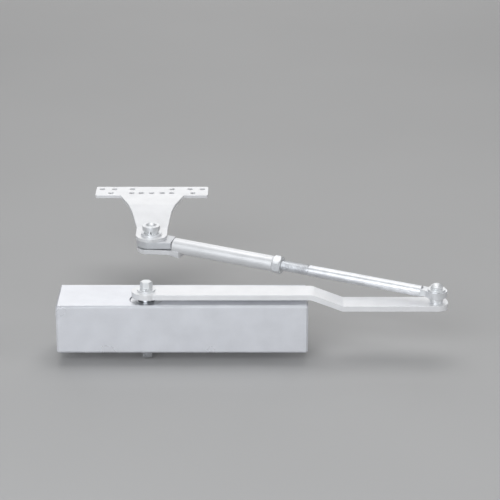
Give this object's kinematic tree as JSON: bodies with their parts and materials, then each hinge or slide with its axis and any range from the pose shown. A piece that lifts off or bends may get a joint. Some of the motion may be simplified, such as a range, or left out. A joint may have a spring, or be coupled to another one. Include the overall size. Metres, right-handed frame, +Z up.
{
  "type": "door closer",
  "caption": "Surface-mounted hydraulic door closer: long box cover, swinging cranked arm, adjustable forearm and a drilled frame bracket.",
  "frame": {"origin": "middle of the four screw holes in the mounting plate, on the plate's back face, which lies on the door", "axes": "+X along the body towards the elbow of the stored arm, -Y out from the door, +Y into the door, +Z up"},
  "size_m": [0.3553, 0.2511, 0.0887],
  "materials": {
    "cover_paint": "fine silver enamel, satin",
    "arm_paint": "silver enamel, satin",
    "block_paint": "silver enamel over a casting",
    "casting": "as cast, fine blasted",
    "collar_metal": "turned",
    "plate_steel": "zinc plated sheet",
    "screw_steel": "zinc plated",
    "plug_steel": "turned steel",
    "shaft_steel": "hardened and ground",
    "spring_steel": "oil tempered wire",
    "zinc": "bright zinc plate",
    "rod_zinc": "bright zinc plate",
    "bearing_bronze": "sintered bronze",
    "valve_brass": "turned brass",
    "seal_rubber": "nitrile, matt"
  },
  "bodies": {
    "housing": {"cover": "cover_paint", "body_casting": "casting", "mounting_plate": "plate_steel", "plate_screws": "screw_steel", "cover_screws": "screw_steel", "left_end_plug": "plug_steel", "right_end_plug": "plug_steel", "plug_seals": "seal_rubber", "upper_bearing_cap": "collar_metal", "upper_bearing": "bearing_bronze", "upper_shaft_seal": "seal_rubber", "lower_bearing": "bearing_bronze", "lower_shaft_seal": "seal_rubber", "lower_retaining_ring": "spring_steel", "main_spring": "spring_steel"},
    "sweep_valve_screw": {"sweep_valve": "valve_brass"},
    "latch_valve_screw": {"latch_valve": "valve_brass"},
    "piston_unit": {"piston": "shaft_steel", "piston_ring": "bearing_bronze", "check_valve": "valve_brass"},
    "spindle": {"pinion_shaft": "shaft_steel", "main_arm": "arm_paint", "arm_washer": "zinc", "arm_spring_washer": "zinc", "arm_bolt": "zinc", "elbow_stud": "zinc", "elbow_washer": "zinc", "elbow_cap_nut": "zinc"},
    "rod": {"forearm_rod": "rod_zinc"},
    "tube": {"forearm_tube": "arm_paint", "tube_tongue": "arm_paint", "tongue_spacer": "zinc", "hold_open_block": "block_paint", "shoe_pin": "zinc", "shoe_washer": "zinc", "shoe_spring_washer": "zinc", "shoe_cap_nut": "zinc"},
    "nut": {"lock_nut": "zinc"},
    "shoe": {"bracket": "arm_paint"}
  },
  "joints": [
    {"name": "arm_swing", "type": "hinge", "parent": "housing", "child": "spindle", "pos_m": [-0.0326, -0.0365, 0], "axis": [0, 0, -1], "range_deg": [0, 170], "stiffness_Nm_per_rad": 4, "springref_deg": -85.94},
    {"name": "piston_travel", "type": "slide", "parent": "housing", "child": "piston_unit", "axis": [1, 0, 0], "range_m": [0, 0.0223], "deforming": ["main_spring"]},
    {"name": "elbow_swivel", "type": "hinge", "parent": "spindle", "child": "rod", "pos_m": [0.2308, -0.0365, 0.0288], "axis": [0, 0, -1], "range_deg": [-13, 150]},
    {"name": "forearm_length", "type": "slide", "parent": "rod", "child": "tube", "axis": [-0.9123, 0.4085, 0.0301], "range_m": [-0.015, 0.02]},
    {"name": "lock_nut_turn", "type": "hinge", "parent": "tube", "child": "nut", "pos_m": [0.08795, 0.02746, 0.03261], "axis": [-0.9123, 0.4085, 0.0301], "continuous": true},
    {"name": "shoe_swivel", "type": "hinge", "parent": "tube", "child": "shoe", "pos_m": [-0.0332, 0.0817, 0.0416], "axis": [0, 0, 1], "range_deg": [-45, 90]},
    {"name": "sweep_valve_turn", "type": "hinge", "parent": "housing", "child": "sweep_valve_screw", "pos_m": [0.086, -0.014, 0.008], "axis": [1, 0, 0], "range_deg": [-180, 360]},
    {"name": "latch_valve_turn", "type": "hinge", "parent": "housing", "child": "latch_valve_screw", "pos_m": [0.086, -0.014, -0.008], "axis": [1, 0, 0], "range_deg": [-180, 360]}
  ],
  "couplings": [
    {"joint": "piston_travel", "follows": "arm_swing", "m_per_rad": 0.0075}
  ]
}
